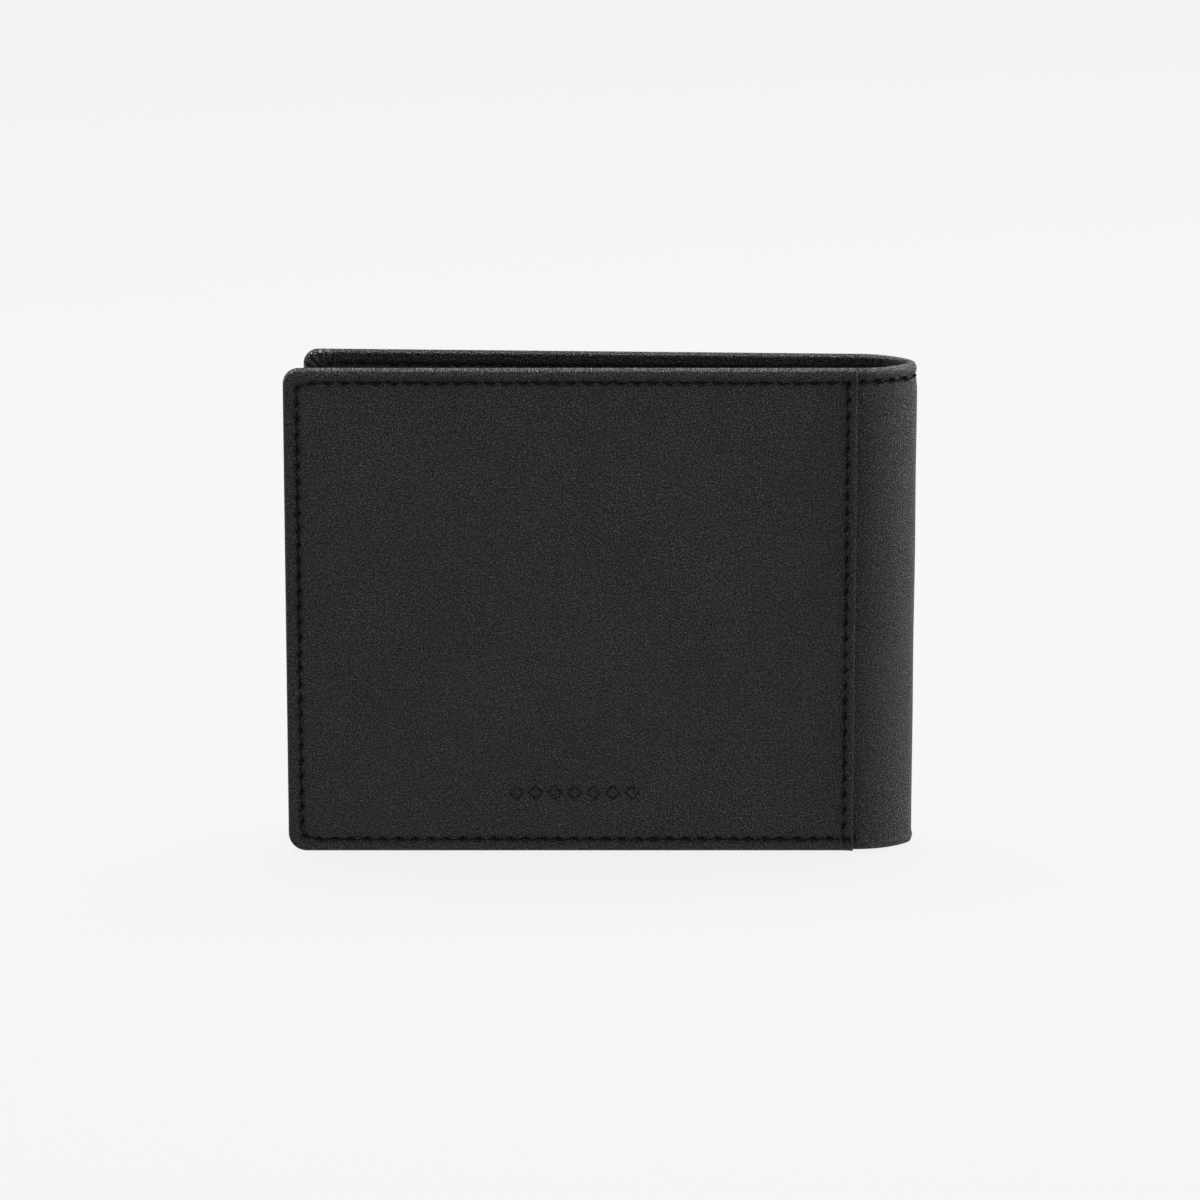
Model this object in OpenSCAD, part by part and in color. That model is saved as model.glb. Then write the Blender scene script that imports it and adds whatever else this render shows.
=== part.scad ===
// Bifold wallet in black leather, standing on its long edge and slightly open.
// The front half faces -Y, the fold is on the right (+X), and +Z is up.
// Each half is laid out in its own plane: u runs from the fold to the free edge, starting where the
// half begins to bend, w is the distance outwards from the fold's centre plane, and z is the height.

/* [Wallet] */
// Width, from the free edge of the front half to the outside of the fold
wallet_w = 120; // [112:1:130]
// Height
wallet_h = 95; // [92:1:100]
// Thickness over the fold, outside to outside, without the front pocket panel
fold_t = 13; // [13:0.1:14]
// Radius of the gentle bends on both sides of the fold
side_r = 14; // [12:0.5:15]
// Angle that each gentle bend turns through, before the tight bend between them
side_angle = 45; // [38:1:45]
// Angle between the two halves at rest
open_angle = 2.5; // [1:0.5:4]
// How much shorter the rear half is than the front half
rear_setback = 2.8; // [0:0.1:5]
// Radius of the four free corners
corner_r = 3; // [1.5:0.1:4]

/* [Shell] */
// Thickness of the outer leather
leather_t = 0.9; // [0.7:0.1:1]
// Thickness of the hem that is turned in along the edges
hem_t = 0.65; // [0.6:0.05:0.7]
// Width of the turned hem
hem_w = 7; // [5:0.5:8]
// Thickness of the bonded board behind the leather
board_t = 0.4; // [0.3:0.05:0.4]
// Thickness of the lining cloth
lining_t = 0.25; // [0.15:0.05:0.25]
// Distance from the fold to the edge of the front pocket panel
pocket_u = 0.6; // [0.2:0.1:4]
// Thickness of the front pocket panel
pocket_t = 0.8; // [0.6:0.1:1]

/* [Inside] */
// Space between the lining and the inner wall, which holds the banknotes
note_gap = 0.5; // [0.3:0.1:0.9]
// Thickness of the cloth wall on the inner side of the banknote compartment
wall_t = 0.3; // [0.2:0.05:0.35]
// Height that the shell stands above the inner wall
wall_drop = 5.5; // [5:0.5:6]
// Width of the sewn rim of the inner wall
rim_w = 4.5; // [4:0.5:6]
// Thickness of the leather that carries the card slots
base_t = 0.4; // [0.3:0.05:0.4]
// Thickness of a card slot's leather
slot_t = 0.55; // [0.45:0.05:0.6]
// Height of the lowest slot's mouth
slot_mouth_z = 47; // [46:0.5:48]
// Step from one mouth to the next
slot_step = 11; // [9:0.5:11]
// Depth of a card slot below its mouth
slot_depth = 46; // [44:1:46]
// Distance from the fold to the inner panels
panel_u = 3; // [2:0.5:6]

/* [Sewing] */
// Distance from an outer edge to its seam
seam_inset = 2.6; // [2:0.1:3]
// Distance from the pocket panel's edge to its seam
pocket_seam_inset = 1.8; // [1.5:0.1:3]
// Width of the thread
thread_w = 0.5; // [0.3:0.05:0.6]
// Depth of the thread in its groove
thread_t = 0.25; // [0.15:0.05:0.3]

/* [Hidden] */

$fn = 96;
// Space between pieces that lie edge to edge in the same half.
fit_gap = 0.2;
// Space between the inner wall and the leather panels on it.
layer_gap = 0.05;
// Depth of a cut that has to run past a face.
past = 1;
// Radius of the free corners of the layers inside.
inner_corner_r = 1;

// Layers, as distances outwards from the fold's centre plane.
outer_w = fold_t / 2;
pocket_w = outer_w + pocket_t;
leather_w = outer_w - leather_t;
hem_in_w = leather_w - hem_t;
board_w = leather_w - board_t;
lining_w = board_w - lining_t;
wall_w = lining_w - note_gap;
base_w = wall_w - wall_t - layer_gap;
slots_w = base_w - base_t;

// The fold is a gentle bend, a tight one and a gentle one: [outer radius, angle it turns through].
// Each opens at a hinge line in its middle.
fold_turn = 180 - open_angle;
tight_r = side_r - (side_r - outer_w) / cos(side_angle);
BENDS = [
    [side_r, side_angle],
    [tight_r, fold_turn - 2 * side_angle],
    [side_r, side_angle]
];
// The leather between two hinge lines is a strip, and the halves meet the strips at the outer lines.
strip_count = len(BENDS) - 1;
// Distance left free on each side of a hinge line, so that the strips clear each other as they turn.
hinge_gap = 0.1;

// Outward direction where the leather has turned through an angle since it left the front half.
function outward(turn) = [sin(turn), -cos(turn)];

// That angle, and the point on the outer face, at the start of bend k.
function turn_at(k) = k == 0 ? 0 : turn_at(k - 1) + BENDS[k - 1][1];
function bend_chord(k) = BENDS[k][0] * (outward(turn_at(k + 1)) - outward(turn_at(k)));
function point_at(k) = k == 0 ? [0, -outer_w] : point_at(k - 1) + bend_chord(k - 1);

rear_origin = point_at(len(BENDS)) - outer_w * outward(fold_turn);

// Extents along a half.
fold_l = point_at(1)[0] + tight_r * (1 - outward(side_angle)[0]);
front_u = wallet_w - fold_l;
rear_u = front_u - rear_setback;

// The inner panels, which stop short of the shell's edges, and the lining that the hem leaves open.
panel_inset = 1.6;
panel_z = 1;
wall_z = wallet_h - wall_drop;
lining_inset = hem_w + fit_gap;
slot_count = 4;
// Height that the card base stands above the highest slot's mouth.
base_rise = 0.8;
base_z = slot_mouth_z + (slot_count - 1) * slot_step + base_rise;

// Seams. A thread lies in a groove that is a little wider and deeper than it.
groove_side = 0.15;
groove_floor = 0.05;
groove_w = thread_w + 2 * groove_side;
groove_t = thread_t + groove_floor;
top_seam_z = wallet_h - seam_inset;
inner_seam_inset = 2;
// Space between a thread's end and the slot mouth over it, and the one under it.
mouth_gap = 1;
sill_gap = 0.5;

// Place of the fold, with the origin at the centre of the wallet's underside.
rear_reach = rear_origin[1] + outer_w * cos(open_angle) + rear_u * sin(open_angle);
fold_x = wallet_w / 2 - fold_l;
fold_y = (pocket_w - rear_reach) / 2;

black = [0.13, 0.13, 0.14];
cloth_black = [0.09, 0.09, 0.1];
thread_black = [0.05, 0.05, 0.05];
board_grey = [0.42, 0.38, 0.34];

// ---- placing ----

module on_fold() {
    translate([fold_x, fold_y, 0]) children();
}

module on_front() {
    on_fold() rotate(180) children();
}

module on_rear() {
    on_fold() translate(rear_origin) rotate(-open_angle) mirror([1, 0, 0]) children();
}

// ---- shapes ----

// A flat outline from [u0, z0] to [u1, z1], with its corners at u1 rounded.
module panel_outline(u0, u1, z0, z1, r) {
    translate([u0, z0]) square([u1 - r - u0, z1 - z0]);
    translate([u0, z0 + r]) square([u1 - u0, z1 - z0 - 2 * r]);
    for (z = [z0 + r, z1 - r]) {
        translate([u1 - r, z]) circle(r);
    }
}

// Stands an outline of u and z upright between w0 and w1.
module upright(w0, w1) {
    translate([0, w1, 0]) rotate([90, 0, 0]) linear_extrude(w1 - w0) children();
}

module slab(u0, u1, z0, z1, w0, w1, r = inner_corner_r) {
    upright(w0, w1) panel_outline(u0, u1, z0, z1, r);
}

// Sweeps a profile of depth and z along half of bend k, as far as its hinge line.
// It starts at the origin, which is on the outer face, heads along +X and turns towards +Y.
module half_bend(k) {
    r = BENDS[k][0];
    angle = BENDS[k][1] / 2 - hinge_gap / r * 180 / PI;
    translate([0, r, 0]) rotate(-90) rotate_extrude(angle = angle)
        translate([r, 0]) mirror([1, 0]) children();
}

// The end of a half's layer that curls into the fold, drawn in the half's own plane.
module curl() {
    translate([0, outer_w, 0]) rotate(180) half_bend(0) children();
}

// Strip number n of the fold, counted from the front, from one hinge line to the next.
module spine_strip(n) {
    on_fold() translate(point_at(n)) rotate(turn_at(n)) {
        half_bend(n) children();
        mirror([1, 0, 0]) half_bend(n - 1) children();
    }
}

// Profiles of the fold's layers.
module leather_profile() {
    difference() {
        union() {
            square([leather_t, wallet_h]);
            translate([0, wallet_h - hem_w]) square([leather_t + hem_t, hem_w]);
        }
        translate([-past, top_seam_z - groove_w / 2]) square([past + groove_t, groove_w]);
    }
}

module lining_profile() {
    translate([leather_t, lining_inset]) square([lining_t, wallet_h - 2 * lining_inset]);
}

module thread_profile() {
    translate([groove_t - thread_t, top_seam_z - thread_w / 2]) square([thread_t, thread_w]);
}

// ---- seams ----

// A line of width line_w along the top, the free side and the bottom, from u0 to the free edge at u1.
module edge_line(u0, u1, line_w, w0, w1) {
    outer = seam_inset - line_w / 2;
    inner = seam_inset + line_w / 2;
    upright(w0, w1) difference() {
        translate([u0, outer]) square([u1 - outer - u0, wallet_h - 2 * outer]);
        translate([u0 - past, inner]) square([u1 - inner - u0 + past, wallet_h - 2 * inner]);
    }
}

// An upright line at u from z0 to z1, and a level one at z from u0 to u1.
module column_line(u, z0, z1, line_w, w0, w1) {
    translate([u - line_w / 2, w0, z0]) cube([line_w, w1 - w0, z1 - z0]);
}

module row_line(u0, u1, z, line_w, w0, w1) {
    translate([u0, w0, z - line_w / 2]) cube([u1 - u0, w1 - w0, line_w]);
}

// ---- shell ----

// A half's leather with the hem that is turned in along the top, the free side and the bottom.
module flat_leather(u1) {
    slab(0, u1, 0, wallet_h, leather_w, outer_w, corner_r);
    upright(hem_in_w, leather_w) difference() {
        panel_outline(0, u1, 0, wallet_h, corner_r);
        translate([-past, hem_w]) square([u1 - hem_w + past, wallet_h - 2 * hem_w]);
        translate([-past, -past]) square([panel_u + past, hem_w + past]);
    }
}

module front_pocket_panel() {
    color(black) difference() {
        slab(pocket_u, front_u, 0, wallet_h, outer_w, pocket_w, corner_r);
        edge_line(pocket_u - past, front_u, groove_w, pocket_w - groove_t, pocket_w + past);
        column_line(pocket_u + pocket_seam_inset, seam_inset, top_seam_z, groove_w,
                    pocket_w - groove_t, pocket_w + past);
    }
}

module front_cover() {
    color(black) union() {
        difference() {
            flat_leather(front_u);
            row_line(-past, pocket_u, top_seam_z, groove_w, outer_w - groove_t, outer_w + past);
        }
        curl() leather_profile();
    }
}

module rear_cover() {
    color(black) union() {
        difference() {
            flat_leather(rear_u);
            edge_line(-past, rear_u, groove_w, outer_w - groove_t, outer_w + past);
        }
        curl() leather_profile();
    }
}

module spine_leather(n) {
    color(black) spine_strip(n) leather_profile();
}

// The bonded board lies inside the hem, between the leather and the lining.
module board(u1) {
    z0 = lining_inset;
    color(board_grey)
        slab(panel_u + fit_gap, u1 - lining_inset, z0, wallet_h - z0, board_w, leather_w);
}

// The lining lies on the leather by the fold and steps up onto the board.
module lining(u1) {
    z0 = lining_inset;
    height = wallet_h - 2 * lining_inset;
    step_u = panel_u - lining_t;
    color(cloth_black) union() {
        translate([0, leather_w - lining_t, z0]) cube([step_u, lining_t, height]);
        translate([step_u, lining_w, z0]) cube([lining_t, leather_w - lining_w, height]);
        slab(panel_u, u1 - lining_inset, z0, z0 + height, lining_w, board_w);
        curl() lining_profile();
    }
}

module spine_lining(n) {
    color(cloth_black) spine_strip(n) lining_profile();
}

// ---- banknote compartment ----

// Cloth with a sewn rim, which closes the compartment at the free side and the bottom.
module inner_wall(u1) {
    side_u = u1 - panel_inset;
    color(cloth_black) union() {
        slab(panel_u, side_u, panel_z, wall_z, wall_w - wall_t, wall_w);
        upright(wall_w, hem_in_w) difference() {
            panel_outline(panel_u, side_u, panel_z, wall_z, inner_corner_r);
            translate([panel_u - past, panel_z + rim_w])
                square([side_u - rim_w - panel_u + past, wallet_h]);
        }
    }
}

// A leather band finishes the top of the inner wall, above the card slots.
module top_band(u1) {
    color(black) slab(panel_u, u1 - panel_inset, base_z + fit_gap, wall_z, base_w - base_t, base_w);
}

// ---- card slots ----

module card_base(u1) {
    color(black) slab(panel_u, u1 - panel_inset, panel_z, base_z, base_w - base_t, base_w);
}

// Inner face of slot n. Slot 1 is the lowest one and lies on top of the others.
function slot_face_w(n) = slots_w - (slot_count - n + 1) * slot_t;

function slot_mouth(n) = slot_mouth_z + (n - 1) * slot_step;

// A panel of leather, sewn at its sides and its bottom.
module card_slot(n, u1) {
    bottom = max(panel_z, slot_mouth(n) - slot_depth);
    color(black)
        slab(panel_u, u1 - panel_inset, bottom, slot_mouth(n), slot_face_w(n), slot_face_w(n) + slot_t);
}

// ---- threads ----

// Round the pocket panel, and on its own over the top of the fold.
module front_seam_thread() {
    w0 = pocket_w - groove_t;
    cover_w0 = outer_w - groove_t;
    color(thread_black) {
        union() {
            edge_line(pocket_u, front_u, thread_w, w0, w0 + thread_t);
            column_line(pocket_u + pocket_seam_inset, seam_inset, top_seam_z, thread_w,
                        w0, w0 + thread_t);
        }
        union() {
            row_line(0, pocket_u, top_seam_z, thread_w, cover_w0, cover_w0 + thread_t);
            curl() thread_profile();
        }
    }
}

module rear_seam_thread() {
    w0 = outer_w - groove_t;
    color(thread_black) union() {
        edge_line(0, rear_u, thread_w, w0, w0 + thread_t);
        curl() thread_profile();
    }
}

module spine_thread(n) {
    color(thread_black) spine_strip(n) thread_profile();
}

// The thread of the inner panels: along the bottom, up both sides of the card slots, and along the top.
module inner_thread(u1) {
    side_u = u1 - panel_inset - inner_seam_inset;
    bottom_z = panel_z + inner_seam_inset;
    top_z = wall_z - inner_seam_inset;
    face_w = slot_face_w(1);
    band_w = base_w - base_t;
    color(thread_black) {
        union() {
            row_line(panel_u + inner_seam_inset, side_u, bottom_z, thread_w, face_w - thread_t, face_w);
            for (u = [panel_u + inner_seam_inset, side_u]) {
                column_line(u, bottom_z, slot_mouth(1) - mouth_gap, thread_w, face_w - thread_t, face_w);
            }
        }
        for (u = [panel_u + inner_seam_inset, side_u], n = [2:slot_count]) {
            column_line(u, slot_mouth(n - 1) + sill_gap, slot_mouth(n) - mouth_gap, thread_w,
                        slot_face_w(n) - thread_t, slot_face_w(n));
        }
        row_line(panel_u + inner_seam_inset, side_u, top_z, thread_w, band_w - thread_t, band_w);
    }
}

// ---- assembly ----

on_front() front_pocket_panel();
on_front() front_cover();
on_front() board(front_u);  // front_board
on_front() lining(front_u);  // front_lining
on_front() inner_wall(front_u);  // front_inner_wall
on_front() top_band(front_u);  // front_top_band
on_front() card_base(front_u);  // front_card_base
on_front() front_seam_thread();
on_front() inner_thread(front_u);  // front_inner_thread
on_rear() rear_cover();
on_rear() board(rear_u);  // rear_board
on_rear() lining(rear_u);  // rear_lining
on_rear() inner_wall(rear_u);  // rear_inner_wall
on_rear() top_band(rear_u);  // rear_top_band
on_rear() card_base(rear_u);  // rear_card_base
on_rear() rear_seam_thread();
on_rear() inner_thread(rear_u);  // rear_inner_thread
for (n = [1:slot_count]) {
    on_front() card_slot(n, front_u);
    on_rear() card_slot(n, rear_u);
}
for (n = [1:strip_count]) {
    spine_leather(n);
    spine_lining(n);
    spine_thread(n);
}
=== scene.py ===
import math

import bmesh
import bpy
import numpy as np
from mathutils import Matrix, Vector
from mathutils.kdtree import KDTree


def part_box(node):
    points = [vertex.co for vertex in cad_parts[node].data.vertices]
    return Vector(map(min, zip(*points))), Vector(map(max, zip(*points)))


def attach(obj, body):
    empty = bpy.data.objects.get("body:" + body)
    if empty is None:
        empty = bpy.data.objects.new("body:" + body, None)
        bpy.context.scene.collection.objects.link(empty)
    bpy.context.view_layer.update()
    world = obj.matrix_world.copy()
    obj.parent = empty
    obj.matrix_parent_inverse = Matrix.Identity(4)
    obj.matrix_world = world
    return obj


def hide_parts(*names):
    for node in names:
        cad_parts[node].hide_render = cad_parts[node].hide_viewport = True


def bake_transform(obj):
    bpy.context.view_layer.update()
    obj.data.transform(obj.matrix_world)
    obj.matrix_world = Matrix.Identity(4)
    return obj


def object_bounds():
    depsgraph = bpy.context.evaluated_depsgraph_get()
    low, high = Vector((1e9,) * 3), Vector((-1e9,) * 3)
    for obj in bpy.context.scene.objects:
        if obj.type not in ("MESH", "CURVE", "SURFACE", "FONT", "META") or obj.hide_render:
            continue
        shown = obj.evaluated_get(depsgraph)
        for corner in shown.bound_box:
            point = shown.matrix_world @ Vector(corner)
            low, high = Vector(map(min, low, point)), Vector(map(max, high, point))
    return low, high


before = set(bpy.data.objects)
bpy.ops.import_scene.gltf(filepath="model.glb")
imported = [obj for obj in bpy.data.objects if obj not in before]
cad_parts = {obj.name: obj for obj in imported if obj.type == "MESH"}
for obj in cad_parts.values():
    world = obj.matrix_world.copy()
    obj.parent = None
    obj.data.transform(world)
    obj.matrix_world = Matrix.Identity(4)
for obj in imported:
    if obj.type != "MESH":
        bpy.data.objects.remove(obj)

# A black leather bifold wallet. Everything is in metres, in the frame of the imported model.
# A half is laid out in its own plane: u runs from the fold to the free edge, z is the height and
# w is the distance outwards from the fold's centre plane. The fold is laid out by the angle that
# the leather has turned through since it left the front half, the depth under its outer face and z.

MM = 0.001

# ---- sizes that the frame's boxes don't give ----

OUTER_W = 6.5 * MM
OPEN_ANGLE = math.radians(2.5)
SIDE_R = 14 * MM
SIDE_TURN = math.radians(45)
LEATHER_T = 0.9 * MM
HEM_T = 0.65 * MM
HEM_W = 7 * MM
BOARD_T = 0.4 * MM
LINING_T = 0.25 * MM
NOTE_GAP = 0.5 * MM
WALL_T = 0.3 * MM
BASE_T = 0.4 * MM
BASE_GAP = 0.05 * MM
SLOT_T = 0.55 * MM
SLOTS = (1, 2, 3, 4)
CORNER_R = (2.9 * MM, 3.5 * MM)
INNER_CORNER_R = (MM, MM)
SEAM_INSET = 2.6 * MM
BOTTOM_SEAM_INSET = 2.4 * MM
POCKET_SEAM_INSET = 1.8 * MM
SEAM_CORNER_R = 1.3 * MM
INNER_SEAM_INSET = 2 * MM
PITCH = 3.07 * MM
THREAD_R = 0.3 * MM
THREAD_SINK = 0.1 * MM
OUTER_THREAD_SINK = 0.12 * MM
REAR_THREAD_SINK = 0.08 * MM
HEM_SWELL = 0.11 * MM
HEM_SWELL_AT = 1.3 * MM
HEM_SWELL_R = 0.6 * MM
REAR_SETBACK = 2.8 * MM
PANEL_U = 3 * MM
PANEL_SIDE = 1.6 * MM
RIM_W = 4.5 * MM
LAYER_GAP = 0.02 * MM
BOARD_GAP = 0.05 * MM
LINING_INSET = HEM_W + 0.2 * MM
BESIDE_FOLD = 2.4 * MM

# ---- places from the frame ----

CAD_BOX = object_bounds()
pocket_lo, pocket_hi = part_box("front_pocket_panel")
TOP = pocket_hi.z
FREE_X = pocket_lo.x
FOLD_Y = pocket_hi.y + OUTER_W
POCKET_W = FOLD_Y - pocket_lo.y
FOLD_TURN = math.pi - OPEN_ANGLE
TIGHT_R = SIDE_R - (SIDE_R - OUTER_W) / math.cos(SIDE_TURN)
FOLD_L = (SIDE_R - TIGHT_R) * math.sin(SIDE_TURN) + TIGHT_R
FOLD_X = CAD_BOX[1].x - FOLD_L
FRONT_U = FOLD_X - FREE_X
POCKET_U = FOLD_X - pocket_hi.x
REAR_U = FRONT_U - REAR_SETBACK
LEATHER_W = OUTER_W - LEATHER_T
HEM_IN_W = LEATHER_W - HEM_T
BOARD_W = LEATHER_W - BOARD_T
LINING_W = BOARD_W - LINING_T
WALL_W = LINING_W - NOTE_GAP
BASE_W = WALL_W - WALL_T - BASE_GAP
SLOTS_W = BASE_W - BASE_T
PANEL_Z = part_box("front_card_base")[0].z
BASE_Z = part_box("front_card_base")[1].z
WALL_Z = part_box("front_inner_wall")[1].z
MOUTH_Z = {n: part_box(f"front_card_slot_{n}")[1].z for n in SLOTS}
SLOT_BOTTOM_Z = {n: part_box(f"front_card_slot_{n}")[0].z for n in SLOTS}


def outward(turn):
    """Outward direction of the fold at an angle, as x and y."""
    return np.stack([np.sin(turn), -np.cos(turn)], axis=-1)


def fold_bends():
    """Each bend of the fold: its first and last angle, its outer radius and its centre."""
    ends = [0, SIDE_TURN, FOLD_TURN - SIDE_TURN, FOLD_TURN]
    point = np.array([FOLD_X, FOLD_Y - OUTER_W])
    bends = []
    for start, end, radius in zip(ends, ends[1:], (SIDE_R, TIGHT_R, SIDE_R)):
        centre = point - radius * outward(start)
        bends.append((start, end, radius, centre))
        point = centre + radius * outward(end)
    return bends, point


BENDS, REAR_START = fold_bends()
REAR_AT = REAR_START - OUTER_W * outward(FOLD_TURN)
BEND_LENGTHS = [radius * (end - start) for start, end, radius, _ in BENDS]
FOLD_LENGTH = sum(BEND_LENGTHS)


def front_place(u, w, z):
    return np.stack([FOLD_X - u, FOLD_Y - w, z], axis=-1)


def rear_place(u, w, z):
    c, s = math.cos(OPEN_ANGLE), math.sin(OPEN_ANGLE)
    return np.stack([REAR_AT[0] - u * c + w * s, REAR_AT[1] + u * s + w * c, z], axis=-1)


def fold_place(bend, along, depth, z):
    """A point of one bend, by the share of the bend's angle, its depth and its height."""
    start, end, radius, centre = BENDS[bend]
    turn = start + along * (end - start)
    flat = centre + (radius - depth)[..., None] * outward(turn)
    return np.concatenate([flat, z[..., None]], axis=-1)


class Half:
    """What differs between the front and the rear half."""

    def __init__(self, name, place, far_u, flat_x):
        self.name, self.place, self.far_u, self.flat_x = name, place, far_u, flat_x
        self.body = name + "_half"

    def flat(self, u, z):
        """Place on the flat cut leather, which is one piece over both halves and the fold."""
        return np.stack([self.flat_x(u), z], axis=-1)


FRONT = Half("front", front_place, FRONT_U, lambda u: -u)
REAR = Half("rear", rear_place, REAR_U, lambda u: FOLD_LENGTH + u)


def smooth(x):
    x = np.clip(x, 0, 1)
    return x * x * (3 - 2 * x)


def roll(inset, radius):
    """How far a rolled edge has dropped from the flat face at a distance from the outline."""
    reach = np.clip(radius - inset, 0, radius)
    return radius - np.sqrt(np.maximum(radius ** 2 - reach ** 2, 0))


def ripple(x, z, size):
    """Gentle unevenness of leather, of about that height: waves that never line up."""
    a = np.sin(x * 137 + 1.3 * np.sin(z * 91)) * np.sin(z * 119 + 0.7)
    b = np.sin(x * 263 - z * 187 + 2.1) + 0.7 * np.sin(x * 71 + z * 233)
    return size * (0.55 * a + 0.3 * b)


# ---- meshes ----

WELD = 0.5e-6
SHARP_ANGLE = math.radians(60)


class Mesh:
    """Collects points and faces, with each point's place on the flat leather and how pale it is made:
    partly rubbing, partly painted highlight.
    """

    def __init__(self):
        self.points, self.flats, self.wears, self.faces = [], [], [], []
        self.count = 0

    def add(self, points, flat, wear):
        points = np.asarray(points).reshape(-1, 3)
        first = self.count
        self.points.append(points)
        self.flats.append(np.broadcast_to(flat, (*np.shape(flat)[:-1], 2)).reshape(-1, 2))
        self.wears.append(np.broadcast_to(wear, len(points)).astype(float))
        self.count += len(points)
        return np.arange(first, self.count)

    def grid(self, index):
        """Quads over a two-dimensional array of point numbers."""
        a, b = index[:-1, :-1], index[1:, :-1]
        c, d = index[1:, 1:], index[:-1, 1:]
        self.faces += np.stack([a, b, c, d], axis=-1).reshape(-1, 4).tolist()

    def zip(self, first, first_at, second, second_at):
        """Triangles between two rows of points, by each point's share of its row's length."""
        i = j = 0
        while i < len(first) - 1 or j < len(second) - 1:
            on_first = j == len(second) - 1
            if i < len(first) - 1 and j < len(second) - 1:
                on_first = first_at[i + 1] <= second_at[j + 1]
            if on_first:
                self.faces.append((first[i], first[i + 1], second[j]))
                i += 1
            else:
                self.faces.append((first[i], second[j + 1], second[j]))
                j += 1

    def finish(self, name, material):
        data = bpy.data.meshes.new(name)
        data.from_pydata(np.concatenate(self.points).tolist(), [], self.faces)
        # Per-point paleness: partly rubbing, partly painted highlight.
        wear = data.attributes.new("wear", "FLOAT", "POINT")
        wear.data.foreach_set("value", np.concatenate(self.wears).astype(np.float32))
        corner = np.zeros(len(data.loops), np.int32)
        data.loops.foreach_get("vertex_index", corner)
        flat = data.uv_layers.new(name="flat")
        flat.data.foreach_set("uv", np.concatenate(self.flats)[corner].astype(np.float32).ravel())
        bm = bmesh.new()
        bm.from_mesh(data)
        bmesh.ops.remove_doubles(bm, verts=bm.verts, dist=WELD)
        bmesh.ops.dissolve_degenerate(bm, edges=bm.edges, dist=WELD)
        bmesh.ops.recalc_face_normals(bm, faces=bm.faces)
        bm.to_mesh(data)
        bm.free()
        data.shade_smooth()
        data.set_sharp_from_angle(angle=SHARP_ANGLE)
        data.materials.append(material)
        return add_object(name, data)


# ---- seams ----

CORNER_POINTS = 7


def holes_of(corners, radius=SEAM_CORNER_R, pitch=PITCH):
    """Needle holes, evenly spaced along a seam whose inner corners are rounded."""
    corners = [np.array(c, float) for c in corners]
    points = [corners[0]]
    for before, corner, after in zip(corners, corners[1:], corners[2:]):
        a = (before - corner) / np.linalg.norm(before - corner)
        b = (after - corner) / np.linalg.norm(after - corner)
        centre = corner + radius * (a + b)
        for angle in np.linspace(0, math.pi / 2, CORNER_POINTS):
            points.append(centre - radius * (b * math.cos(angle) + a * math.sin(angle)))
    points = np.array(points + [corners[-1]])
    length = np.concatenate([[0], np.cumsum(np.linalg.norm(np.diff(points, axis=0), axis=1))])
    at = np.linspace(0, length[-1], max(2, round(length[-1] / pitch) + 1))
    return np.stack([np.interp(at, length, points[:, k]) for k in range(2)], axis=1)


def puff(inset):
    """Swelling of the turned hem between the edge and the seam."""
    return HEM_SWELL * np.exp(-((inset - HEM_SWELL_AT) / HEM_SWELL_R) ** 2)


class Relief:
    """How a seam sinks into the leather: a shallow valley, a deep dimple at each hole, puckers."""

    VALLEY, VALLEY_R = 0.15 * MM, 0.5 * MM
    DIMPLE, DIMPLE_R = 0.45 * MM, 0.4 * MM
    PUCKER, PUCKER_AT, PUCKER_R = 0.13 * MM, 1.15 * MM, 0.5 * MM
    PUCKER_EVEN = 0.45
    REACH = 2.5 * MM
    LINE_STEPS = 12

    def __init__(self, runs):
        lines = []
        for run in runs:
            for a, b in zip(run, run[1:]):
                lines += list(np.linspace(a, b, self.LINE_STEPS, endpoint=False))
            lines.append(run[-1])
        self.line = self.tree(lines)
        self.hole = self.tree([h for run in runs for h in run])

    @staticmethod
    def tree(points):
        tree = KDTree(len(points))
        for i, p in enumerate(points):
            tree.insert((p[0], p[1], 0), i)
        tree.balance()
        return tree

    def depth(self, u, z, pucker=1):
        """Depth of the leather's face under its flat level; pucker scales the puckers."""
        at = [(p[0], p[1], 0) for p in np.stack([u, z], axis=-1).reshape(-1, 2)]
        line = np.array([self.line.find(p)[2] for p in at])
        near = line < self.REACH
        hole = np.ones(len(line))
        hole[near] = [self.hole.find(p)[2] for p, close in zip(at, near) if close]
        sunk = self.VALLEY * np.exp(-(line / self.VALLEY_R) ** 2)
        sunk += self.DIMPLE * np.exp(-(hole / self.DIMPLE_R) ** 2)
        swing = np.cos(np.minimum(hole / (0.5 * PITCH), 1) * math.pi)
        raised = np.exp(-((line - self.PUCKER_AT) / self.PUCKER_R) ** 2)
        raised *= self.PUCKER_EVEN + (1 - self.PUCKER_EVEN) * swing
        return sunk.reshape(np.shape(u)) - self.PUCKER * pucker * raised.reshape(np.shape(u))


# A stitch by its share of the pitch: sideways in slants, height in mm and thickness in thread
# radii. A thick knot slants into its hole, and a thin thread runs on to the next one.
STITCH_SHAPE = (
    (0.00, 1.0, -0.50, 0.65),
    (0.04, 0.9, -0.18, 0.90),
    (0.10, 0.6, 0.00, 1.05),
    (0.20, 0.1, 0.02, 1.10),
    (0.32, -0.6, 0.00, 1.05),
    (0.41, -1.0, -0.10, 0.75),
    (0.49, -0.95, -0.06, 0.46),
    (0.65, -0.4, -0.02, 0.42),
    (0.84, 0.3, -0.03, 0.42),
    (0.94, 0.8, -0.16, 0.40),
    (1.00, 1.0, -0.40, 0.35),
)
STITCH_SLANT = 0.24 * MM
STITCH_ODDNESS = 0.35
STITCH_SHIFT = 0.05 * MM
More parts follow.
